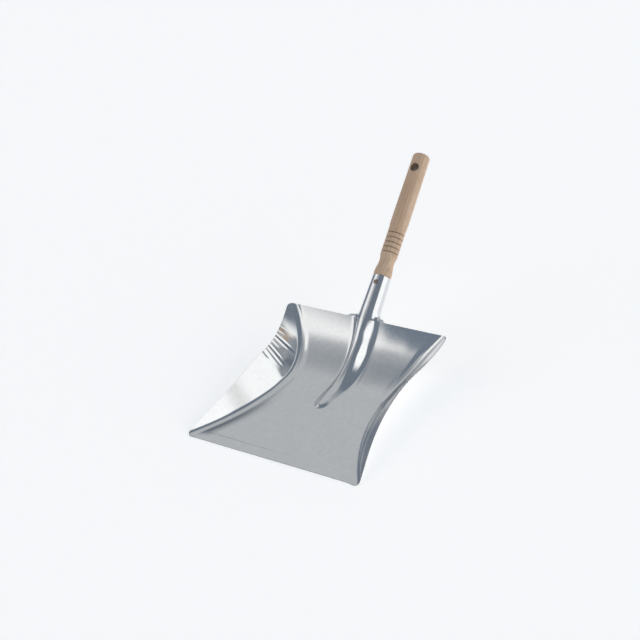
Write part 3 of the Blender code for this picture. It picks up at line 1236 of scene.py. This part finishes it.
@dataclass
class Nail:
    """Flat-headed nail through the socket's crest into the tenon."""

    socket: Socketed
    at: float
    sheet: float
    head_radius: float = 0.0028
    head_height: float = 0.0012
    shank_radius: float = 0.0011
    length: float = 0.017
    point_length: float = 0.003
    point_radius: float = 0.0002
    sunk: float = 0.0006
    edge: float = 0.0004
    steps: int = 32

    def build(self) -> bpy.types.Object:
        """Draw the nail from its head down to its point."""
        top = self.socket.radius + self.sheet / 2 - self.sunk
        profile = [(self.head_radius, top), (self.head_radius, top - self.head_height),
                   (self.shank_radius, top - self.head_height - 0.0001),
                   (self.shank_radius, top - self.length + self.point_length),
                   (self.point_radius, top - self.length)]
        nail = drawn("fixing_nail", profile, self.steps)
        apply_modifier(nail, "BEVEL", width=self.edge, segments=3, limit_method="ANGLE",
                       angle_limit=math.radians(50))
        return placed(nail, self.socket.matrix(Square.ACROSS, self.at), NailFinish().material(),
                      40.0)


# ---------------------------------------------------------------- studio


@dataclass(frozen=True)
class Glow:
    """A soft-edged bright or dark patch of the studio round the object.

    Azimuth is counted from -Y towards +X and elevation from the horizon, both in degrees.
    """

    azimuth: float
    elevation: float
    width: float
    height: float
    edge: float
    level: Colour


@dataclass
class Studio:
    """Plain pale floor, soft surroundings and the camera."""

    mouth_y: float
    floor_half: float = 6.0
    floor_glow: float = 0.46
    azimuth: float = 32.492
    elevation: float = 30.107
    roll: float = -4.999
    lens: float = 61.875
    sensor: float = 36.0
    camera_place: tuple[float, float, float] = (0.59824, -0.80610, 0.75742)
    ground: Colour = (0.55, 0.56, 0.57)
    glows: tuple[Glow, ...] = ()

    def build(self) -> None:
        """Set up the floor, the surroundings and the camera."""
        self.build_floor()
        self.build_world()
        self.build_camera()
        bpy.context.scene.view_settings.view_transform = "Standard"

    def build_floor(self) -> None:
        """Lay a large plain floor."""
        deselect()
        bpy.ops.mesh.primitive_plane_add(size=2 * self.floor_half, location=(0, 0, 0))
        floor = added("studio_floor")
        material, graph, shader = new_material("pale_floor")
        speck = graph.noise(graph.place(), 40.0, 3.0, 0.5)
        graph.fit(shader, Base_Color=graph.mix(speck, (0.93, 0.93, 0.93), (0.95, 0.95, 0.95)),
                  Roughness=0.9, Specular_IOR_Level=0.1, Emission_Color=(1.0, 1.0, 1.0),
                  Emission_Strength=self.floor_glow)
        floor.data.materials.append(material)

    def build_world(self) -> None:
        """Paint the surroundings with soft patches, by direction."""
        world = bpy.data.worlds.new("studio")
        bpy.context.scene.world = world
        world.use_nodes = True
        graph = Graph(world.node_tree)
        direction = graph.node("ShaderNodeTexCoord", out="Generated")
        x, y, z = graph.split(direction)
        azimuth = graph.math("ARCTAN2", x, y * -1.0) * math.degrees(1)
        elevation = graph.math("ARCSINE", z) * math.degrees(1)
        colour: Value = self.ground
        for glow in self.glows:
            away = (azimuth - glow.azimuth).abs()
            away = away.least((away - 360.0).abs())
            across = away.step(glow.width / 2 + glow.edge, glow.width / 2 - glow.edge)
            upward = (elevation - glow.elevation).abs().step(
                glow.height / 2 + glow.edge, glow.height / 2 - glow.edge)
            colour = graph.mix(across * upward, colour, glow.level)
        background = world.node_tree.nodes["Background"]
        graph.feed(background.inputs["Color"], colour)
        background.inputs["Strength"].default_value = 1.0

    def build_camera(self) -> None:
        """Place the camera and turn it to its viewing angle."""
        az, el, roll = (math.radians(v) for v in (self.azimuth, self.elevation, self.roll))
        view = Vector((-math.sin(az) * math.cos(el), math.cos(az) * math.cos(el), -math.sin(el)))
        level = Vector((math.cos(az), math.sin(az), 0))
        rise = level.cross(view)
        right = math.cos(roll) * level + math.sin(roll) * rise
        top = math.cos(roll) * rise - math.sin(roll) * level
        matrix = Matrix((right, top, -view)).transposed().to_4x4()
        matrix.translation = Vector(self.camera_place) + Vector((0, self.mouth_y, 0))
        data = bpy.data.cameras.new("camera")
        data.lens = self.lens
        data.sensor_width = self.sensor
        data.clip_start = 0.01
        camera = bpy.data.objects.new("camera", data)
        bpy.context.scene.collection.objects.link(camera)
        camera.matrix_world = matrix
        bpy.context.scene.camera = camera


# ---------------------------------------------------------------- assembly


def hand_over(piece: bpy.types.Object, node: str, slot: Slot) -> None:
    """Let a finished piece stand for its CAD node.

    Args:
        piece: The finished piece.
        node: The node that it replaces.
        slot: The record's slot of its finish; not used.
    """
    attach(piece, BODY)
    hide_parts(node)
    log.info("%s stands for %s: %d faces", piece.name, node, len(piece.data.polygons))


def main() -> None:
    """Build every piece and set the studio."""
    logging.basicConfig(level=logging.INFO, format="%(name)s: %(message)s")
    mouth_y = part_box("pan")[0].y
    pan = Pan(mouth_y)
    hand_over(pan.build(), "pan", Slot.SHEET)
    hand_over(Handle(pan.socket).build(), "handle", Slot.WOOD)
    hand_over(Nail(pan.socket, pan.nail_at, pan.sheet).build(), "nail", Slot.NAIL)
    Studio(mouth_y, glows=(
        Glow(70, 64, 190, 60, 8, (0.19, 0.225, 0.27)),
        Glow(-100, 12, 110, 26, 6, (0.20, 0.23, 0.28)),
        Glow(6, 20, 69, 66, 2.5, (0.20, 0.24, 0.29)),
        Glow(-85, 78, 130, 34, 12, (0.30, 0.325, 0.355)),
        Glow(-57, 32, 54, 38, 6, (1.10, 1.085, 1.065)),
        Glow(92, 8, 104, 40, 4, (1.25, 1.25, 1.23)),
        Glow(108, 31, 60, 14, 4, (1.2, 1.2, 1.18)),
        Glow(91, 36, 26, 24, 4, (1.25, 1.25, 1.23)),
        Glow(108, 31, 8, 14, 4, (0.90, 0.90, 0.88)),
    )).build()


if __name__ == "__main__":
    main()
